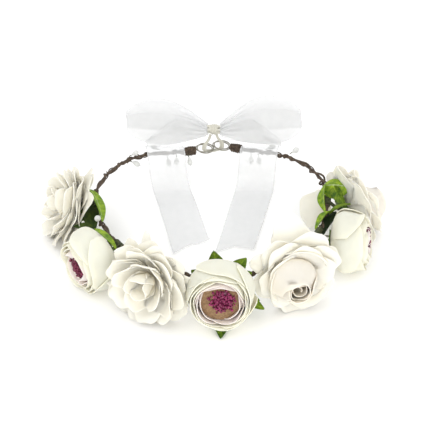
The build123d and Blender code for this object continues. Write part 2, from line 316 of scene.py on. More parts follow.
class Builder:
    """Gathers closed shells and tubes, in millimetres, into one mesh."""

    def __init__(self):
        self.points, self.faces, self.tones, self.count = [], [], [], 0

    def add(self, points, faces, tones):
        self.points.append(np.asarray(points, float))
        self.faces.append(np.asarray(faces, int) + self.count)
        self.tones.append(np.broadcast_to(tones, (len(points),)).astype(float))
        self.count += len(points)

    def shell(self, grid, thickness, tones=0.5):
        """A thin closed sheet about a grid of points (across, along, 3)."""
        across, along = np.gradient(grid, axis=0), np.gradient(grid, axis=1)
        normal = unit(np.cross(across, along))
        top, bottom = grid + normal * thickness / 2, grid - normal * thickness / 2
        nu, nv = grid.shape[:2]
        index = np.arange(nu * nv).reshape(nu, nv)
        a, b, c, d = index[:-1, :-1], index[1:, :-1], index[1:, 1:], index[:-1, 1:]
        upper = np.stack([a, b, c, d], -1).reshape(-1, 4)
        lower = upper[:, ::-1] + nu * nv
        edge = np.concatenate([index[:-1, 0], index[-1, :-1], index[:0:-1, -1], index[0, :0:-1]])
        after = np.roll(edge, -1)
        rim = np.stack([after, edge, edge + nu * nv, after + nu * nv], -1)
        tones = np.broadcast_to(tones, (nu, nv)).reshape(-1)
        self.add(np.concatenate([top.reshape(-1, 3), bottom.reshape(-1, 3)]),
                 np.concatenate([upper, lower, rim]), np.concatenate([tones, tones]))

    def rings(self, points, ends, tones, turn=1):
        """A skin over rings of points (n, sides, 3), closed by a point at each end. turn is -1 where
        the rings run the other way round."""
        n, sides = points.shape[:2]
        index = np.arange(n * sides).reshape(n, sides)
        after = np.roll(index, -1, axis=1)
        walls = np.stack([index[:-1], after[:-1], after[1:], index[1:]], -1).reshape(-1, 4)
        tip = np.full(sides, n * sides)
        first = np.stack([after[0], index[0], tip, tip], -1)
        last = np.stack([index[-1], after[-1], tip + 1, tip + 1], -1)
        tones = np.broadcast_to(tones, (n,))
        self.add(np.concatenate([points.reshape(-1, 3), ends]),
                 np.concatenate([walls, first, last])[:, ::turn],
                 np.concatenate([tones.repeat(sides), tones[[0, -1]]]))

    def tube(self, path, radius, sides=10, tones=0.5):
        """A tube along a path (n, 3), closed by its end faces. radius is one, (n,) or (n, sides)."""
        path = np.asarray(path, float)
        n = len(path)
        along = unit(np.gradient(path, axis=0))
        normals = np.zeros_like(path)
        first = np.cross(along[0], (0, 0, 1))
        if np.linalg.norm(first) < 0.1:
            first = np.cross(along[0], (1, 0, 0))
        normals[0] = unit(first)
        for i in range(1, n):
            carried = normals[i - 1] - along[i] * np.dot(normals[i - 1], along[i])
            normals[i] = unit(carried)
        side = np.cross(along, normals)
        angle = ring_angles(sides)
        r = np.asarray(radius, float)
        if r.ndim < 2:
            r = np.broadcast_to(r, (n,))[:, None]
        ring = np.cos(angle)[..., None] * normals[:, None] + np.sin(angle)[..., None] * side[:, None]
        self.rings(path[:, None] + ring * r[..., None], path[[0, -1]], tones)

    def ball(self, centre, radius, rows=7, sides=10, tones=0.5, stretch=(1, 1, 1)):
        lat = np.linspace(0, np.pi, rows)[:, None]
        lon = ring_angles(sides)
        shape = on_circle(np.sin(lat), lon, np.cos(lat))
        points = np.asarray(centre) + shape[1:-1] * radius * np.asarray(stretch)
        poles = np.asarray(centre) + np.array([[0, 0, 1], [0, 0, -1]]) * radius * np.asarray(stretch)
        self.rings(points, poles, tones, turn=-1)

    def merge(self, other):
        self.points += other.points
        self.faces += [f + self.count for f in other.faces]
        self.tones += other.tones
        self.count += other.count

    def shifted(self, right, top):
        self.points = [p + (right, top, 0) for p in self.points]

    def moved(self, seat):
        """The same mesh, carried from a flower's own frame into the crown's, and kept off the table."""
        self.points = [above_table(seat.place(p)) for p in self.points]
        return self

    def piece(self, name, material, slot, replaces=(), body="crown"):
        """One named object from everything gathered, riding on a body and standing for CAD nodes."""
        points = np.concatenate(self.points) * MM
        faces = [tuple(dict.fromkeys(int(i) for i in f)) for f in np.concatenate(self.faces)]
        mesh = bpy.data.meshes.new(name)
        mesh.from_pydata(points.tolist(), [], faces)
        painted = mesh.attributes.new("tone", "FLOAT", "POINT")
        painted.data.foreach_set("value", np.concatenate(self.tones).astype(np.float32))
        mesh.polygons.foreach_set("use_smooth", [True] * len(mesh.polygons))
        mesh.set_sharp_from_angle(angle=math.radians(SHARP_EDGE_DEG))
        mesh.materials.append(material)
        obj = bpy.data.objects.new(name, mesh)
        bpy.context.scene.collection.objects.link(obj)
        if body:
            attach(obj, body)
        if replaces:
            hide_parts(*replaces)
        return obj


class Seat:
    """A frame to build in: its middle, the way it faces, and its right-hand side."""

    def __init__(self, centre, up, right):
        self.centre = np.asarray(centre, float)
        self.up = unit(up)
        self.right = unit(np.asarray(right) - self.up * np.dot(self.up, right))
        self.top = np.cross(self.up, self.right)

    def place(self, points):
        """Points (right, top, up) about the flower's middle, in the crown's frame."""
        p = np.asarray(points)
        return self.centre + p[..., :1] * self.right + p[..., 1:2] * self.top + p[..., 2:3] * self.up


def facing(centre, azimuth, elevation):
    """A flower's frame, facing an azimuth and an elevation in degrees."""
    az, el = math.radians(azimuth), math.radians(elevation)
    way = (math.cos(az) * math.cos(el), math.sin(az) * math.cos(el), math.sin(el))
    return Seat(centre, way, (-math.sin(az), math.cos(az), 0))


# ----- petals
PETAL_T = 0.55
CUP_ROUGHNESS = 0.35


def petal_grid(across, along):
    """Places across (-1 to 1) and along (0 to 1) a petal or leaf."""
    return np.linspace(-1, 1, across)[:, None], np.linspace(0, 1, along)[None, :]


def wrinkles(rng, u, v, size):
    """Smooth random unevenness over a petal."""
    waves = 5
    total = 0.0
    for _ in range(waves):
        ku, kv = rng.uniform(-3.2, 3.2), rng.uniform(-3.2, 3.2)
        total = total + np.sin(ku * u + kv * v + rng.uniform(0, TURN))
    return size * total / waves ** 0.5


def blade_petal(builder, rng, azimuth, length, width, start, end, foot=(1.2, 7), lip=0, cup=0.8,
                wave=0.1, waves=3, drop=0.24, twist=0, rough=0.5, nu=21, nv=19):
    """A free petal. Its middle line leans from start to end degrees off the flower's axis."""
    u, v = petal_grid(nu, nv)
    t = np.linspace(0, 1, 60)
    lean = np.radians(start + (end - start) * t + lip * smooth(0.72, 1, t))
    step = length / (len(t) - 1)
    out = foot[0] + np.concatenate([[0], np.cumsum(np.sin(lean[:-1]) * step)])
    up = foot[1] + np.concatenate([[0], np.cumsum(np.cos(lean[:-1]) * step)])
    tip = 1 + 0.035 * np.sin(rng.uniform(3, 5) * u + rng.uniform(0, 6))
    reach = np.clip(v * (1 - drop * np.abs(u) ** 2.6 * v) * (1 + (tip - 1) * v ** 3) / 1.1, 0, 1)
    half = width / 2 * (0.2 + 0.8 * np.sin(np.pi / 2 * np.minimum(v / 0.66, 1)) ** 0.85)
    half = half * (1 - 0.22 * smooth(0.68, 1, v))
    curl = np.maximum(cup * (1 - 0.45 * v), 0.05)
    across = half * np.sin(curl * u) / curl
    depth = half * (1 - np.cos(curl * u)) / curl
    phase = rng.uniform(0, TURN)
    frill = np.sin(waves * np.pi * u + phase) * smooth(0.35, 1, v) * (0.35 + 0.65 * np.abs(u))
    depth = depth + width * wave * frill + wrinkles(rng, 2 * u, 3 * v, rough) * v
    depth = depth - width * 0.5 * wave * smooth(0.82, 1, v)
    turn = np.radians(twist) * v
    across, depth = (across * np.cos(turn) - depth * np.sin(turn),
                     across * np.sin(turn) + depth * np.cos(turn))
    angle = np.interp(reach, t, lean)
    r = np.interp(reach, t, out) - depth * np.cos(angle)
    w = np.interp(reach, t, up) + depth * np.sin(angle)
    az = math.radians(azimuth)
    grid = np.stack([r * math.cos(az) - across * math.sin(az), r * math.sin(az) + across * math.cos(az),
                     w + 0 * across], -1)
    # Low tones at the foot, and a little lower at the sides, are painted darker: partly tint, partly painted
    # shade.
    shade = np.clip(0.15 + 0.95 * v - 0.1 * np.abs(u), 0, 1) + 0 * u
    builder.shell(grid, PETAL_T, shade)


def cup_petal(builder, rng, azimuth, span, belly, rim, base, top, at=0.6, tuck=1.2, drop=0.22, lip=0.8,
              frill=0.4):
    """A petal wrapped round the flower's axis as part of a bowl, one side tucked inside the next."""
    u, v = petal_grid(37, 19)
    reach = v * (1 - drop * np.abs(u) ** 3.0 * v ** 2)
    rise = np.sin(np.pi / 2 * np.minimum(reach / at, 1)) ** 0.8
    bowl = 1.2 + (belly - 1.2) * rise
    bowl = bowl - (belly - rim) * smooth(at, 1.05, reach) * 1.02
    height = base + (top - base) * (0.12 * reach + 0.88 * reach ** 1.75)
    side = tuck * u * smooth(0.15, 0.6, v)
    roll = lip * smooth(0.9, 1, v) * (0.4 + 0.6 * np.cos(2.2 * u) ** 2)
    r = bowl + side + roll + wrinkles(rng, 2.5 * u, 2 * v, CUP_ROUGHNESS) * smooth(0.1, 0.5, v)
    w = height + frill * smooth(0.5, 1, v) * np.sin(rng.uniform(2.5, 5) * u + rng.uniform(0, 6))
    az = math.radians(azimuth) + u * math.radians(span) / 2
    grid = on_circle(r, az, w)
    # Low tones at the foot are painted darker: partly tint, partly painted shade.
    shade = np.clip(0.05 + v, 0, 1) + 0 * u
    builder.shell(grid, PETAL_T, shade)


def blade_ring(builder, rng, count, first, length, width, start, end, **shape):
    """A ring of free petals, each a little different from its neighbours."""
    for i in range(count):
        azimuth = first + 360 * i / count + rng.uniform(-50, 50) / count
        size = 1 + rng.uniform(-0.06, 0.06)
        blade_petal(builder, rng, azimuth, length * size, width * size, start + rng.uniform(-4, 4),
                    end + rng.uniform(-7, 7), twist=rng.uniform(-10, 10), **shape)


def cup_ring(builder, rng, count, first, span, belly, rim, base, top, **shape):
    """A ring of wrapped petals, each tucked inside the next."""
    for i in range(count):
        azimuth = first + 360 * i / count + rng.uniform(-40, 40) / count
        cup_petal(builder, rng, azimuth, span, belly + rng.uniform(-0.5, 0.5), rim + rng.uniform(-0.5, 0.5),
                  base, top + rng.uniform(-1.2, 1.2), **shape)


def camellia_layers(rng, opening):
    """Outer, middle and inner petals of a cabbage-shaped flower. opening is the radius of its mouth."""
    outer, middle, inner = Builder(), Builder(), Builder()
    # Per ring: petals, first angle, span, belly radius, base, top, tuck, drop, lip and frill.
    rings = ((outer, 5, 0, 132, 24.2, 6.2, 33.5, 1.5, 0.28, 1, 0.4),
             (middle, 5, 20, 128, 21.8, 9, 35.5, 1.3, 0.26, 0.7, 0.4),
             (middle, 4, 60, 140, 19.8, 10.5, 36.3, 1.2, 0.26, 0.6, 0.4),
             (inner, 4, 35, 138, 18, 12, 36.6, 1.1, 0.24, 0.4, 0.4),
             (inner, 3, 100, 140, 16.4, 14, 36, 0.8, 0.2, -0.4, 0.8))
    rims = np.linspace(20.6, opening, len(rings))
    for (layer, count, first, span, belly, base, top, tuck, drop, lip, frill), rim in zip(rings, rims):
        cup_ring(layer, rng, count, first, span, belly, rim, base, top, tuck=tuck, drop=drop, lip=lip,
                 frill=frill)
    return outer, middle, inner


def open_rings(rng, size, rings, **shape):
    """Rings of free petals, given as layer, petals, first angle, length, width, lean at the start and
    at the end, foot, cup and lip."""
    for layer, count, first, length, width, start, end, foot, cup, lip in rings:
        blade_ring(layer, rng, count, first, length * size, width * size, start, end, foot=foot, cup=cup,
                   lip=lip, **shape)


def peony_layers(rng, size):
    """Back, middle and front petals of a full, many-petalled flower, and its curled heart."""
    back, middle, front, heart = Builder(), Builder(), Builder(), Builder()
    rings = ((back, 8, 8, 29, 26, 72, 94, (1.2, 7), 0.45, 8),
             (middle, 7, 26, 30, 26, 74, 66, (1.4, 8.6), 0.65, 18),
             (middle, 7, 2, 30, 25, 74, 48, (1.4, 9.6), 0.75, 24),
             (front, 6, 40, 30, 25, 70, 28, (1.4, 10.5), 0.85, 28),
             (heart, 5, 30, 28, 22, 60, 4, (1.2, 12.5), 1, 28),
             (heart, 4, 0, 23, 17, 40, -20, (1, 14.5), 1.15, 20))
    open_rings(rng, size, rings, wave=0.035, waves=1.4, drop=0.34)
    middle.shifted(0, 2.5)
    front.shifted(1, 5)
    heart.shifted(1.5, 7.5)
    return back, middle, front, heart


def rose_layers(rng, size):
    """Back, middle and front petals of an open rose, and the wrapped bud at its middle."""
    back, middle, front, heart = Builder(), Builder(), Builder(), Builder()
    rings = ((back, 6, 12, 33, 33, 74, 91, (1.2, 7), 0.4, 4),
             (middle, 5, 44, 31, 33, 68, 72, (1.5, 8.6), 0.5, 14),
             (middle, 5, 8, 28, 30, 62, 58, (1.5, 9.6), 0.6, 18))
    open_rings(rng, size, rings, wave=0.03, waves=1.5, drop=0.38)
    cup_ring(front, rng, 3, 60, 116, 19.0 * size, 20.5 * size, 9.5, 24.5, tuck=1.4, drop=0.5, lip=1.6,
             frill=0.8)
    wraps = ((80, 16.2, 7.4, 36.5), (250, 15.2, 7.2, 36), (20, 13.6, 6.6, 35.6), (150, 11.4, 5.4, 35),
             (290, 8.8, 4, 34), (60, 5.8, 2.2, 33))
    for turn, belly, rim, top in wraps:
        cup_petal(heart, rng, turn, 240, belly * size, rim * size, 12 + 0.2 * (16.2 - belly), top, at=0.5,
                  tuck=1.2, drop=0.12, lip=0.35, frill=0.9)
    heart.shifted(-4.5, -1.5)
    return back, middle, front, heart


DISC_RADIUS = 14.6
DISC_HEIGHT = 30.6
STAMEN_COUNT = 120
STAMEN_REACH = 8.6
STAMEN_MIDDLE = (1.6, 1.8)
GOLDEN_TURN = 2.4


def stamens(rng):
    """The felt disc of an open flower and the beaded threads that stand on it."""
    disc, beads = Builder(), Builder()
    angle = np.linspace(0, TURN, 37)[:, None]
    rings = np.linspace(0.02, 1, 9)[None, :]
    r = DISC_RADIUS * rings + 0 * angle
    bulge = DISC_HEIGHT + 1.8 * (1 - rings ** 2) + 0.25 * np.sin(5 * angle + 4 * rings) * rings
    disc.shell(on_circle(r, angle, bulge), 0.8)
    beads.ball((*STAMEN_MIDDLE, DISC_HEIGHT + 0.6), STAMEN_REACH - 0.6, rows=9, sides=20, tones=0.1,
               stretch=(1, 1, 0.32))
    for i in range(STAMEN_COUNT):
        turn = GOLDEN_TURN * i
        out = STAMEN_REACH * math.sqrt((i + 0.5) / STAMEN_COUNT)
        x = out * math.cos(turn) + STAMEN_MIDDLE[0] + rng.uniform(-0.7, 0.7)
        y = out * math.sin(turn) + STAMEN_MIDDLE[1] + rng.uniform(-0.7, 0.7)
        height = rng.uniform(3.2, 5.6) * (1.1 - 0.35 * out / STAMEN_REACH)
        lean = rng.uniform(-1.3, 1.3, 2)
        t = np.linspace(0, 1, 5)[:, None]
        path = np.array([x, y, DISC_HEIGHT]) + t * np.array([0, 0, height]) + t ** 2 * np.array([*lean, 0])
        beads.tube(path, 0.28, sides=6, tones=0.2)
        beads.ball(path[-1], rng.uniform(0.65, 1.05), tones=rng.uniform(0, 1),
                   stretch=(1, 1, rng.uniform(0.9, 1.35)))
    return disc, beads


# Each flower's kind, azimuth and elevation in degrees, size against the usual, shift of its middle from
# the CAD one (right, top, along its axis), and the radius of a camellia's mouth.
FLOWERS = {
    "left_back_ruffle": ("peony", 190, 24, 1.17, (-0.5, -12, -3), None),
    "left_camellia": ("camellia", 217, -7, 0.96, (0, -2.5, 0), 9.5),
    "left_front_ruffle": ("peony", 243, 9, 1.16, (0.5, -3.2, -0.8), None),
    "front_camellia": ("camellia", 268, 8, 0.97, (0.3, 1, 0), 13.8),
    "right_front_rose": ("rose", 283, 2, 1.04, (0.9, 0.4, 0), None),
    "right_camellia": ("camellia", 349, 10, 0.94, (-3, -3.5, 1.5), 4),
    "right_back_rose": ("rose", 26, 12, 1.13, (-9, -9.5, -3), None),
}
# How far a flower's foot lies behind its outermost CAD petals, and how high a camellia's petals start.
CAMELLIA_DEPTH = 21.4
OPEN_FLOWER_DEPTH = 12.0
CAMELLIA_FOOT = 6.0


def flower_seat(name):
    """A flower's frame: its axis runs through the middle of its CAD petals."""
    kind, azimuth, elevation, _, shift, _ = FLOWERS[name]
    outer = f"{name}_outer_petals" if kind == "camellia" else f"{name}_back_petals"
    low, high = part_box(outer)
    middle = np.array((low + high) / 2) / MM
    behind = CAMELLIA_DEPTH if kind == "camellia" else OPEN_FLOWER_DEPTH
    foot = facing(middle, azimuth, elevation).place([[*shift[:2], shift[2] - behind]])[0]
    return facing(foot, azimuth, elevation)


def scaled(builder, size):
    """A camellia of another size, its foot left where it was."""
    for points in builder.points:
        points[:, :2] *= size
        points[:, 2] = CAMELLIA_FOOT + (points[:, 2] - CAMELLIA_FOOT) * size
    return builder


# Long petals that stand out of single flowers: angle, length, width, lean of the foot and of the tip.
LONG_PETALS = {
    "left_back_ruffle": [(132, 39, 26, 80, 104), (100, 36, 26, 80, 96)],
    "left_front_ruffle": [(134, 37, 24, 80, 104), (110, 38, 14, 84, 122), (54, 31, 20, 76, 84),
                          (18, 41, 24, 76, 84)],
    "right_front_rose": [(96, 45, 29, 94, 136), (160, 36, 26, 82, 92)],
}
# One petal of the right back rose lies on the inner side of the band.
INNER_PETAL_SEAT = Seat((92, 9, 13), (-0.15, -0.86, 0.45), (-1, 0.1, 0.28))


def build_camellia(name, rng, seat, size, mouth, cloths, felt, bead_colour_and_shade):
    """A camellia: three layers of wrapped petals, its felt disc and its stamens."""
    for part, cloth, layer in zip(("outer", "middle", "inner"), cloths, camellia_layers(rng, mouth)):
        scaled(layer, size).moved(seat).piece(f"{name}_{part}_petal_layer", cloth, "ivory_petals",
                                              [f"{name}_{part}_petals"])
    disc, beads = stamens(rng)
    scaled(disc, size).moved(seat).piece(f"{name}_felt_disc", felt, "plum_stamens")
    scaled(beads, size).moved(seat).piece(f"{name}_beaded_stamens", bead_colour_and_shade, "plum_stamens",
                                          [f"{name}_stamens"])


def build_open_flower(name, rng, seat, layers, cloth, heart_cloth):
    """A peony or rose: three layers of free petals and its heart."""
    for azimuth, length, width, start, end in LONG_PETALS.get(name, []):
        blade_petal(layers[0], rng, azimuth, length, width, start, end, cup=0.5, lip=-8, wave=0.02, drop=0.3)
    for layer in layers:
        layer.moved(seat)
    if name == "right_back_rose":
        inside = Builder()
        blade_petal(inside, rng, 0, 27, 31, 84, 92, foot=(0, 0), cup=0.35, lip=-10, wave=0.02, drop=0.3)
        layers[0].merge(inside.moved(INNER_PETAL_SEAT))
    for part, layer in zip(("back_petals", "middle_petals", "front_petals", "heart"), layers):
        finish = heart_cloth if part == "heart" else cloth
        layer.piece(f"{name}_{part}_layer", finish, "white_petals", [f"{name}_{part}"])


def build_flowers():
    # Each cloth's first colour, at the petals' foot, is partly its tint and partly painted shade.
    white = petal_material("white_petal_cloth", (0.82, 0.76, 0.63), (0.87, 0.845, 0.76))
    ivory = petal_material("ivory_petal_cloth", (0.74, 0.68, 0.46), (0.86, 0.84, 0.71))
    blush = petal_material("blush_petal_cloth", (0.76, 0.62, 0.54), (0.88, 0.81, 0.76))
    # The rose's heart cloth is cream, and its much darker foot is painted shade in the gap round the bud.
    cream_with_painted_shade = petal_material("cream_petal_cloth_painted_shade", (0.6, 0.48, 0.33), (0.87, 0.81, 0.71))
    plum = stamen_material("plum_beads", (0.075, 0.004, 0.018), (0.33, 0.028, 0.125), 0.35)
    # A darker copy of the plum beads: painted shade for the stamens set deeper in the other camellias.
    plum_in_painted_shade = stamen_material("plum_beads_painted_shade", (0.06, 0.003, 0.012), (0.24, 0.018, 0.07), 0.4)
    felt = stamen_material("tan_felt", (0.2, 0.12, 0.06), (0.32, 0.2, 0.105), 0.9)
    for number, (name, (kind, _, _, size, _, mouth)) in enumerate(FLOWERS.items()):
        rng = np.random.default_rng(100 + number)
        seat = flower_seat(name)
        if kind == "camellia":
            # All camellias but the front one get the beads' painted shade.
            bead_colour_and_shade = plum if name == "front_camellia" else plum_in_painted_shade
            build_camellia(name, rng, seat, size, mouth, (ivory, ivory, blush), felt, bead_colour_and_shade)
        elif kind == "peony":
            build_open_flower(name, rng, seat, peony_layers(rng, size), white, white)
        else:
            build_open_flower(name, rng, seat, rose_layers(rng, size), white, cream_with_painted_shade)


# ----- lines and the band
def curve_through(points, count):
    """An even, smooth line through a few points (Catmull-Rom)."""
    p = np.asarray(points, float)
    p = np.concatenate([[2 * p[0] - p[1]], p, [2 * p[-1] - p[-2]]])
    fine = []
    for i in range(1, len(p) - 2):
        t = np.linspace(0, 1, 40, endpoint=False)[:, None]
        a, b, c, d = p[i - 1:i + 3]
        fine.append(0.5 * (2 * b + (c - a) * t + (2 * a - 5 * b + 4 * c - d) * t ** 2
                           + (3 * b - a - 3 * c + d) * t ** 3))
    return even(np.concatenate([*fine, p[-2:-1]]), count)


def distances(line):
    """How far along the line each of its points is."""
    return np.concatenate([[0], np.cumsum(np.linalg.norm(np.diff(line, axis=0), axis=1))])


def even(line, count):
    """The same line with points spaced evenly along it."""
    along = distances(line)
    at = np.linspace(0, along[-1], count)
    return np.stack([np.interp(at, along, line[:, k]) for k in range(line.shape[1])], -1)


def averaged(columns, count):
    """Running averages, each over a count of rows."""
    kernel = np.ones(count) / count
    return np.stack([np.convolve(column, kernel, "valid") for column in columns.T], -1)


BAND_POINTS = 1500


def band_line():
    """The band's middle line, from the left eyelet round the front to the right one."""
    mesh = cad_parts["band_core_wire"].data
    points = np.array([v.co[:] for v in mesh.vertices]) / MM
    angle = np.degrees(np.arctan2(points[:, 1], points[:, 0]))
    angle = np.where(angle < 90, angle + 360, angle)
    half_degrees = np.round(angle * 2).astype(int)
    line = np.array([points[half_degrees == h].mean(0) for h in np.unique(half_degrees)])
    line = even(line, BAND_POINTS)
    return even(np.concatenate([line[:1], averaged(line, 15), line[-1:]]), BAND_POINTS)


def wound(line, around, turns_at):
    """A line wound round another: its distance from it and its angle there, per point."""
    along = unit(np.gradient(line, axis=0))
    up = np.array([0, 0, 1])
    side = unit(np.cross(along, up))
    above = np.cross(side, along)
    around = np.broadcast_to(around, (len(line),))[:, None]
    return line + around * (np.cos(turns_at)[:, None] * side + np.sin(turns_at)[:, None] * above)


def wrap_tube(builder, rng, line, length, sides, radius, pitch, ridge=0.13):
    """A strand of this length wrapped in paper: a ridge winds round it, and it's slowly uneven."""
    s = np.linspace(0, length, len(line))[:, None]
    angle = ring_angles(sides)
    wind = (s / pitch + angle / (TURN)) % 1.0
    swell = np.interp(s[:, 0], np.linspace(0, length, 60), rng.uniform(-1, 1, 60))[:, None]
    builder.tube(line, radius * (1 + ridge * (wind - 0.5) + 0.09 * swell), sides)


# Strands of the band: sides, radius and the pitch of the paper wrapped round each.
MAIN_STRAND = (12, 1.05, 2.6)
SECOND_STRAND = (10, 0.78, 2.1)
THIRD_STRAND = (8, 0.46, 1.8)
STRAND_PITCH = 17
OPEN_TWIST_FROM_RIGHT_END = 92
SCRAPS = 26


def build_band(line):
    """The wrapped main strand, the two thinner ones wound round it, and loose scraps of paper."""
    paper = wrap_material("brown_paper", (0.028, 0.018, 0.013), (0.15, 0.105, 0.07))
    rng = np.random.default_rng(7)
    length = distances(line)[-1]
    count = len(line)
    main = Builder()
    wrap_tube(main, rng, line, length, *MAIN_STRAND)
    main.piece("band_paper_wrapping", paper, "brown_paper_wrap", ["band_paper_wrap"])
    s = np.linspace(0, length, count)
    wander = 1.3 * np.sin(TURN * s / 61)
    turns = TURN * s / STRAND_PITCH + wander + 0.7 * np.sin(TURN * s / 23 + 1)
    apart = 1.6 + 0.3 * np.sin(TURN * s / 37)
    gap = np.exp(-((s - (length - OPEN_TWIST_FROM_RIGHT_END)) / 13) ** 2)
    twin = Builder()
    wrap_tube(twin, rng, wound(line, apart + 1.6 * gap, turns), length, *SECOND_STRAND)
    wrap_tube(twin, rng, wound(line, apart * 0.95, turns + 2.4)[::2], length, *THIRD_STRAND)
    for _ in range(SCRAPS):
        at = int(rng.uniform(0.04, 0.96) * count)
        lead = rng.uniform(-1, 1, 3) * (0.8, 0.8, 0.5)
        scrap = line[at] + np.linspace(0.9, rng.uniform(2, 3.4), 4)[:, None] * unit(lead)
        twin.tube(scrap, [0.7, 0.55, 0.4, 0.12], sides=7)
    twin.piece("band_twin_strand_winding", paper, "brown_paper_wrap", ["band_twin_strand"])
    return paper


WHIPPING_LENGTH = 9.6
WHIPPING_TURNS = 6
EYELET_RADIUS = 6.7
EYELET_WIRE_R = 0.5


def build_band_ends(line, paper, wire):
    """At each end of the band, the thick winding and the eyelet of two wires side by side."""
    rng = np.random.default_rng(8)
    for side, tip in (("left", line[:30]), ("right", line[::-1][:30])):
        centre = np.mean(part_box(f"{side}_eyelet"), axis=0) / MM
        whip = Builder()
        way = unit(tip[-1] - tip[0])
        core = tip[0] + way * np.linspace(0, WHIPPING_LENGTH, 30)[:, None]
        whip.tube(core, 2.5 + 0.5 * np.sin(np.linspace(0, 3, 30)), sides=16)
        count = 240
        thread = even(core, count)
        uneven = np.interp(np.linspace(0, 1, count), np.linspace(0, 1, 9), rng.uniform(-1, 1, 9))
        coil = 2.75 + 0.4 * np.sin(np.linspace(0, 3, count)) + 0.28 * uneven
        turns = np.linspace(0, TURN * WHIPPING_TURNS, count)
        whip.tube(wound(thread, coil, turns), 0.78, sides=7)
        whip.piece(f"{side}_eyelet_whipping_turns", paper, "brown_paper_wrap", [f"{side}_eyelet_whipping"])
        ring = Builder()
        angle = np.linspace(0, TURN, 180)
        tilt = 0.12 * np.cos(angle) * (-1 if side == "right" else -0.4) * EYELET_RADIUS
        for phase in (0, math.pi):
            twist = angle + phase
            r = EYELET_RADIUS + 0.6 * np.cos(twist)
            ring.tube(centre + on_circle(r, angle, 0.6 * np.sin(twist) + tilt), EYELET_WIRE_R, sides=8)
        ring.piece(f"{side}_eyelet_twisted_wires", wire, "eyelet_wire", [f"{side}_eyelet"])


def build_stems(line, seats):
    """Green cups behind the flowers, and the tape that binds each stem to the band."""
    tape = wrap_material("floral_tape", (0.022, 0.03, 0.012), (0.11, 0.12, 0.05), 1.2)
    green = leaf_material("calyx_green", (0.05, 0.1, 0.02), (0.16, 0.26, 0.05))
    rng = np.random.default_rng(9)
    cups, bindings = Builder(), Builder()
    for seat in seats.values():
        cup = Builder()
        axis = np.linspace((0, 0, 2.6), (0, 0, 8.2), 12)
        cup.tube(axis, np.interp(np.linspace(0, 1, 12), [0, 0.4, 1], [1.7, 2.6, 5.6]), sides=14)
        blade_ring(cup, rng, 5, 10, 11, 8, 84, 74, foot=(1.6, 4.6), cup=0.6, wave=0.05, rough=0.2,
                   nu=9, nv=9, drop=0.5)
        cup.tones = [0.3 * t for t in cup.tones]
        cups.merge(cup.moved(seat))
        near = int(np.argmin(np.linalg.norm((line - seat.centre)[:, :2], axis=1)))
        run = line[max(near - 16, 0):near + 16]
        wrap_tube(bindings, rng, run, distances(run)[-1], 14, 2.5, 2.2, 0.2)
        stem = curve_through([line[near], (line[near] + seat.place([[0, 0, 3]])[0]) / 2,
                              seat.place([[0, 0, 4]])[0]], 10)
        bindings.tube(stem, 1.35, sides=10)
    cups.piece("flower_calyx_cups", green, "calyx_green", ["flower_calyxes"])
    bindings.piece("stem_tape_windings", tape, "floral_tape", ["stem_tape_bindings"])
    return tape


# ----- leaves and buds
LEAF_T = 0.35


def leaf(builder, rng, base, tip, face, width, fold, arch, shade):
    """A pointed leaf from base to tip. fold raises its sides, arch bows its middle towards its face,
    and a shade up to 1 darkens it with painted shadow."""
    u, v = petal_grid(23, 33)
    base = np.asarray(base, float)
    way = np.asarray(tip, float) - base
    length = np.linalg.norm(way)
    way = way / length
    normal = unit(np.asarray(face, float) - way * np.dot(face, way))
    side = np.cross(normal, way)
    half = 0.45 + width / 2 * np.sin(np.pi * v ** 0.75) ** 0.85 * (1 - 0.15 * v)
    half = half * (1 - smooth(0.97, 1, v) * 0.9)
    lift = fold * half * np.abs(u) ** 1.4 + arch * length * (1 - (2 * v - 1) ** 2)
    lift = lift + 0.05 * width * np.sin(7 * v + 3 * u + rng.uniform(0, 6)) * np.abs(u)
    across = half * u * np.cos(0.6 * fold)
    grid = base + (v * length)[..., None] * way + across[..., None] * side + lift[..., None] * normal
    rib = np.exp(-(u / 0.09) ** 2) + 0 * v
    veins = np.exp(-(((7 * v - 1.6 * np.abs(u)) % 1.0 - 0.5) / 0.14) ** 2) * 0.55
    builder.shell(grid, LEAF_T, np.clip(rib + veins * (np.abs(u) < 0.9), 0, 1) * (1 - shade) - shade)


# Leaves as base, tip, way they face, width, fold, arch and painted shade.
LEFT_LEAVES = [
    ((-91.7, 10, 34), (-79.9, -26, 30), (0.7, -0.15, 0.7), 11.5, 0.3, 0.05, 0),
    ((-95, 7, 27), (-86.5, -35, 24), (0.2, -0.3, 0.9), 14, 0.2, 0.03, 0.9),
    ((-84, -42, 34.5), (-67, -64, 33), (0.4, 0.2, 0.9), 8.5, 0.3, 0.05, 0.15),
    ((-86, -27, 24), (-101, -27.5, 27), (-0.1, -0.5, 0.85), 6.5, 0.2, 0.05, 0.85),
]
RIGHT_LEAVES = [
    ((86, 18, 32), (108, 12, 33.5), (-0.1, -0.35, 0.95), 20, -0.55, 0.14, 0),
    ((88, 19, 34), (86, -9, 26), (-0.9, -0.35, 0.3), 11, 0.35, 0.06, 0),
    ((94, 14, 34), (102, -4, 28), (-0.5, -0.6, 0.6), 9, 0.5, 0.08, 0.5),
    ((105, -5.5, 31), (88.5, -14.5, 28.5), (-0.55, 0.25, 0.8), 8.5, 0.4, 0.08, 0.45),
    ((90.5, -11, 29), (77, -30, 25.5), (-0.55, 0.25, 0.8), 8.5, 0.4, 0.08, 0.1),
    ((93, -8, 26), (82, -36, 24), (-0.4, -0.2, 0.9), 9, 0.3, 0.05, 1),
]
# Leaves behind the front flower, by angle about its axis and length, and two on the table under it.
SEPALS = [(-30, 22), (18, 13), (47, 16), (103, 15), (160, 13)]
UNDER_LEAVES = [
    ((8, -98, 2.5), (7, -122.5, 1.2), (0, 0, 1), 11, 0.1, 0, 0.45),
    ((20, -91, 12), (37, -101, 9), (0.2, -0.4, 0.9), 9, 0.2, 0, 0.45),
]

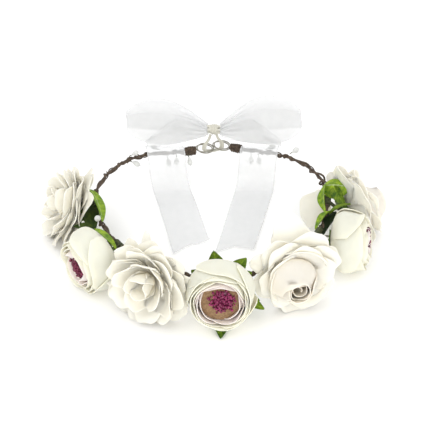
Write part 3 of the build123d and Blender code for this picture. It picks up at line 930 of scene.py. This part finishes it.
# Buds: where each leaves the band, and the way it points.
BUDS = [
    ((-66.5, 68, 28), (0.8, 0.1, 0.45)),
    ((-66.5, 67.6, 24), (0.8, 0, -0.4)),
    ((-42, 78.6, 27.4), (-0.8, 0.45, 0.15)),
    ((-36, 75.2, 24.6), (0.15, -0.3, -1)),
    ((-28.5, 76.5, 24.6), (0, -0.3, -1)),
    ((-19, 76.2, 25), (0.25, -0.45, -0.9)),
    ((32.5, 79.6, 24.6), (0.05, -0.3, -1)),
    ((38.5, 78, 24.6), (0.1, -0.3, -1)),
    ((44.5, 79.4, 27.4), (0.8, 0.4, 0.15)),
    ((64, 73, 27.5), (0.8, 0.45, 0.25)),
    ((-84, -24, 29), (0.1, -0.6, 0.8)),
]


def build_leaves(front_seat):
    green = leaf_material("leaf_green", (0.05, 0.14, 0.008), (0.3, 0.43, 0.025))
    rng = np.random.default_rng(10)
    for name, rows in (("left_leaves", LEFT_LEAVES), ("right_leaves", RIGHT_LEAVES)):
        blades = Builder()
        for row in rows:
            leaf(blades, rng, *row)
        blades.piece(f"{name}_blades", green, "green_leaves", [name])
    sepals = Builder()
    for angle, length in SEPALS:
        turn = math.radians(angle)
        out = np.array([math.cos(turn), math.sin(turn), 0])
        tip = (9 + length) * out + (0, 0, 2.5)
        # The sepals, and the leaves on the table under the front flower, get painted shade.
        leaf(sepals, rng, 8 * out + (0, 0, 3.5), tip, (0, 0, 1), 12, 0.3, 0.04, 0.5)
    sepals.moved(front_seat)
    for row in UNDER_LEAVES:
        leaf(sepals, rng, *row)
    sepals.piece("front_sepal_blades", green, "green_leaves", ["front_sepals"])


def build_buds():
    pearl = bud_material()
    rng = np.random.default_rng(11)
    buds = Builder()
    t = np.linspace(0, 1, 16)
    for start, way in BUDS:
        way = unit(way)
        bend = unit(np.cross(way, rng.uniform(-1, 1, 3)))
        first = np.array(start) + 1.9 * way
        length = rng.uniform(7, 8.2)
        path = first + t[:, None] * length * way + (0.5 * t * t)[:, None] * bend
        fat = rng.uniform(2, 2.4)
        buds.tube(path, np.maximum(fat * np.sin(np.pi * t ** 1.35) ** 0.75, 0.35 * (1 - t)), sides=14)
    buds.piece("white_bud_drops", pearl, "bud_white", ["white_buds"])


# ----- ribbon
RIBBON_T = 0.16
KNOT_X, KNOT_Y, KNOT_Z = 2, 89, 41.0


def ribbon_piece(ribbon, kind, cad_name, organza, body="crown"):
    """One length of ribbon, as a piece that stands for its CAD node."""
    obj = ribbon.piece(f"{cad_name}_{kind}", organza, "organza", [cad_name], body)
    return obj


def standing_ribbon(mirror, line, folds, pleats, seed, calm=1):
    """Ribbon on edge along a line of distance out, Y and the heights of its two edges. folds is how
    deep its pleats are, per point of the line, and calm scales its slow unevenness."""
    rng = np.random.default_rng(seed)
    x = KNOT_X + mirror * line[:, 0]
    low, high = (np.stack([x, line[:, 1], line[:, edge]], -1) for edge in (2, 3))
    v = np.linspace(0, 1, 25)[None, :, None]
    grid = low[:, None] * (1 - v) + high[:, None] * v
    normal = unit(np.cross(np.gradient(grid, axis=0), np.gradient(grid, axis=1)))
    s = np.linspace(0, 1, len(line))[:, None]
    v = v[..., 0]
    offset = folds[:, None] * np.sin(np.pi * pleats * v + 1.5 * np.sin(3 * s + rng.uniform(0, 6)))
    slow = 0.0
    for _ in range(4):
        slow = slow + np.sin(rng.uniform(2, 9) * s + rng.uniform(-7, 7) * v + rng.uniform(0, 6))
    offset = offset + 0.35 * slow * calm
    ribbon = Builder()
    ribbon.shell(grid + offset[..., None] * normal, RIBBON_T)
    return ribbon


# Bow loops in plan as (distance out, Y), with the heights of their lower and upper edges.
LOOP_SIDE = [
    (5, 86.5, 37, 45), (13, 84.5, 35, 51.5), (26, 82.5, 32.5, 58.5),
    (42, 81.5, 31.5, 61.8), (57, 83.5, 32, 61), (67, 87, 35.5, 57),
    (72, 92.5, 39, 54), (68, 98.5, 37, 57), (55, 102.5, 33, 62),
    (38, 102.5, 32.5, 62.3), (22, 97.5, 33.5, 57), (11, 93.5, 36, 50),
    (5, 91.5, 37.5, 45),
]


# The strip from the knot down to each tail, in the same terms.
ROOT_SIDE = [
    (6, 81.5, 38, 45), (16, 80, 36, 51), (30, 79.2, 33.5, 56),
    (46, 79, 31.5, 44), (55, 78.6, 31, 36.5),
]


def build_loops(organza):
    for side, mirror, taller in (("left", -1, -0.6), ("right", 1, 1.4)):
        rows = np.array(LOOP_SIDE)
        rows[:, 3] += taller * (rows[:, 3] - 45) / 15
        line = curve_through(rows, 120)
        near_knot = smooth(40, 8, line[:, 0])
        loop = standing_ribbon(mirror, line, 1.1 * near_knot, 9, 20 + mirror, (1 - 0.6 * near_knot)[:, None])
        ribbon_piece(loop, "ribbon", f"bow_loop_{side}", organza)
        line = curve_through(ROOT_SIDE, 60)
        root = standing_ribbon(mirror, line, 0.5 * smooth(30, 6, line[:, 0]), 7, 30 + mirror)
        ribbon_piece(root, "ribbon", f"tail_root_{side}", organza)


def build_knot(tie_cloth):
    """The pleated wrap of the knot over a bundle of crushed ribbon."""
    knot = Builder()
    around = np.linspace(0, TURN, 61)[:, None]
    across = np.linspace(-1, 1, 21)[None, :]
    pleat = 0.3 * np.sin(13 * across + 0.8 * np.sin(2 * around)) * (1 - across ** 2)
    girth = 4.3 - 1.1 * across ** 2 + 0.3 * np.sin(2 * around + 0.6)
    grid = np.stack([KNOT_X + 3.6 * across + 0.6 * np.sin(2 * around),
                     KNOT_Y + (0.85 * girth + pleat) * np.cos(around),
                     KNOT_Z + (girth + pleat) * np.sin(around)], -1)
    knot.shell(grid, RIBBON_T)
    for turn in (0.3, 1.4, 2.9, 4.4, 5.2):
        strand = np.stack([KNOT_X + np.linspace(-5.5, 5.5, 14), np.full(14, KNOT_Y + 2.2 * math.cos(turn)),
                           KNOT_Z + 2.6 * math.sin(turn) + 0.3 * np.sin(np.linspace(0, 6, 14))], -1)
        knot.tube(strand, 1.2, sides=9)
    knot.piece("bow_knot_folds", tie_cloth, "organza", ["bow_knot"])


def build_tie(tie_cloth):
    """The crushed ribbon that runs from the knot through both eyelets and back."""
    tie = Builder()
    for shift, radius in ((0, 1), (0.9, 0.8), (-0.9, 0.8)):
        route = [(-0.6, 87.5, 37), (-2.4, 86.2, 32.5), (-5.5 + shift, 84, 28.5),
                 (-5 + shift, 84.6, 23.6), (1.5, 86.4 + shift, 22.4), (8 + shift, 88, 23.6),
                 (8.5 + shift, 88.5, 28.5), (5.6, 88.8, 32.5), (4, 89, 37)]
        line = curve_through(route, 90)
        angle = ring_angles(14)
        folds = 1 + 0.22 * np.sin(4 * angle + 5 * np.linspace(0, 1, 90)[:, None] + shift)
        tie.tube(line, radius * folds, sides=14)
    tie.piece("eyelet_tie_ribbon", tie_cloth, "organza", ["eyelet_tie"])


# Tails: outer and inner edge in plan as (X, Y), the Y that the end notch reaches, and height by Y.
TAILS = {
    "left": ([(-54, 80), (-50.5, 66), (-45.5, 50), (-36.5, 10), (-29.5, -24), (-28, -28.5)],
             [(-23, 80), (-19.5, 66), (-14.5, 50), (-7.5, 18), (-2.6, -5), (-1, -10)]),
    "right": ([(55.5, 80), (52.5, 66), (49, 50), (41, 14), (34, -15), (32.5, -22)],
              [(24.5, 80), (21.5, 66), (18, 50), (10.5, 12), (4.5, -19), (3, -26)]),
}
NOTCH_Y = -15.0
TAIL_ROWS = 110
TAIL_HEIGHT = [(80, 30.3), (77.6, 30.3), (74.5, 29.9), (71.5, 27), (68, 17), (64, 7.5),
               (58.5, 1.8), (52, 0.9), (30, 1.1), (-40, 0.9)]


def build_tails(organza):
    for side, (outer, inner) in TAILS.items():
        rng = np.random.default_rng(41 if side == "left" else 42)
        left, right = curve_through(outer, TAIL_ROWS), curve_through(inner, TAIL_ROWS)
        u = np.linspace(0, 1, 33)[None, :, None]
        grid = left[:, None] * (1 - u) + right[:, None] * u
        u = u[..., 0]
        v = np.linspace(0, 1, TAIL_ROWS)[:, None]
        pull = 1 - np.abs(2 * u - 1)
        end_y = left[-1, 1] * (1 - u) + right[-1, 1] * u
        grid[..., 1] += smooth(0.82, 1, v) * pull * (NOTCH_Y - end_y + 5) * 0.4
        height = np.interp(grid[..., 1], *np.array(TAIL_HEIGHT)[::-1].T)
        height = averaged(np.pad(height, ((2, 2), (0, 0)), "edge"), 5)
        ripple = 0.5 + 0.5 * np.sin(6 * v + 4 * u + rng.uniform(0, 6)) * np.sin(9 * u + rng.uniform(0, 6))
        curl = smooth(0.9, 1, v) * np.abs(2 * u - 1) ** 2
        height = height + smooth(0.15, 0.3, v) * (0.9 * ripple + 0.8 * curl)
        grid = np.concatenate([grid, height[..., None]], -1)
        tail = Builder()
        tail.shell(grid, RIBBON_T)
        for edge in (grid[:, :2], grid[:, -2:]):
            tail.shell(edge + (0, 0, 0.25), 0.1)
        tail = ribbon_piece(tail, "organza", f"ribbon_tail_{side}", organza, body=None)
        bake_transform(tail)


# ----- making it all
def carry(node_name, material):
    """A CAD piece that shows as it is, with its own finish."""
    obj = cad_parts[node_name]
    obj.data.materials.clear()
    obj.data.materials.append(material)


add_camera()
add_studio()
build_flowers()
flower_seats = {name: flower_seat(name) for name in FLOWERS}
band = band_line()
drawn_wire = wire_material()
brown_paper = build_band(band)
build_band_ends(band, brown_paper, drawn_wire)
stem_tape = build_stems(band, flower_seats)
build_leaves(flower_seats["front_camellia"])
build_buds()
organza_film = organza_material("organza_film", 0.31, (0.76, 0.77, 0.78), (0.84, 0.845, 0.845))
# The bow's loops get a darker copy of the ribbon's organza: painted shade that offsets the light they catch
# on both sides.
bow_organza_with_painted_shade = organza_material("bow_organza_with_painted_shade", 0.36, (0.67, 0.675, 0.68), (0.76, 0.765, 0.765))
# The knot and tie cloth is olive cream: partly the denser gathered ribbon, partly painted shade round the
# knot.
gathered_organza_with_painted_shade = organza_material("gathered_organza_with_painted_shade", 0.72, (0.6, 0.58, 0.48), (0.82, 0.8, 0.72))
build_loops(bow_organza_with_painted_shade)
build_knot(gathered_organza_with_painted_shade)
build_tie(gathered_organza_with_painted_shade)
build_tails(organza_film)
for hidden_wire in ("band_core_wire", "flower_stem_wires"):
    carry(hidden_wire, drawn_wire)
carry("bud_stalk_wires", stem_tape)
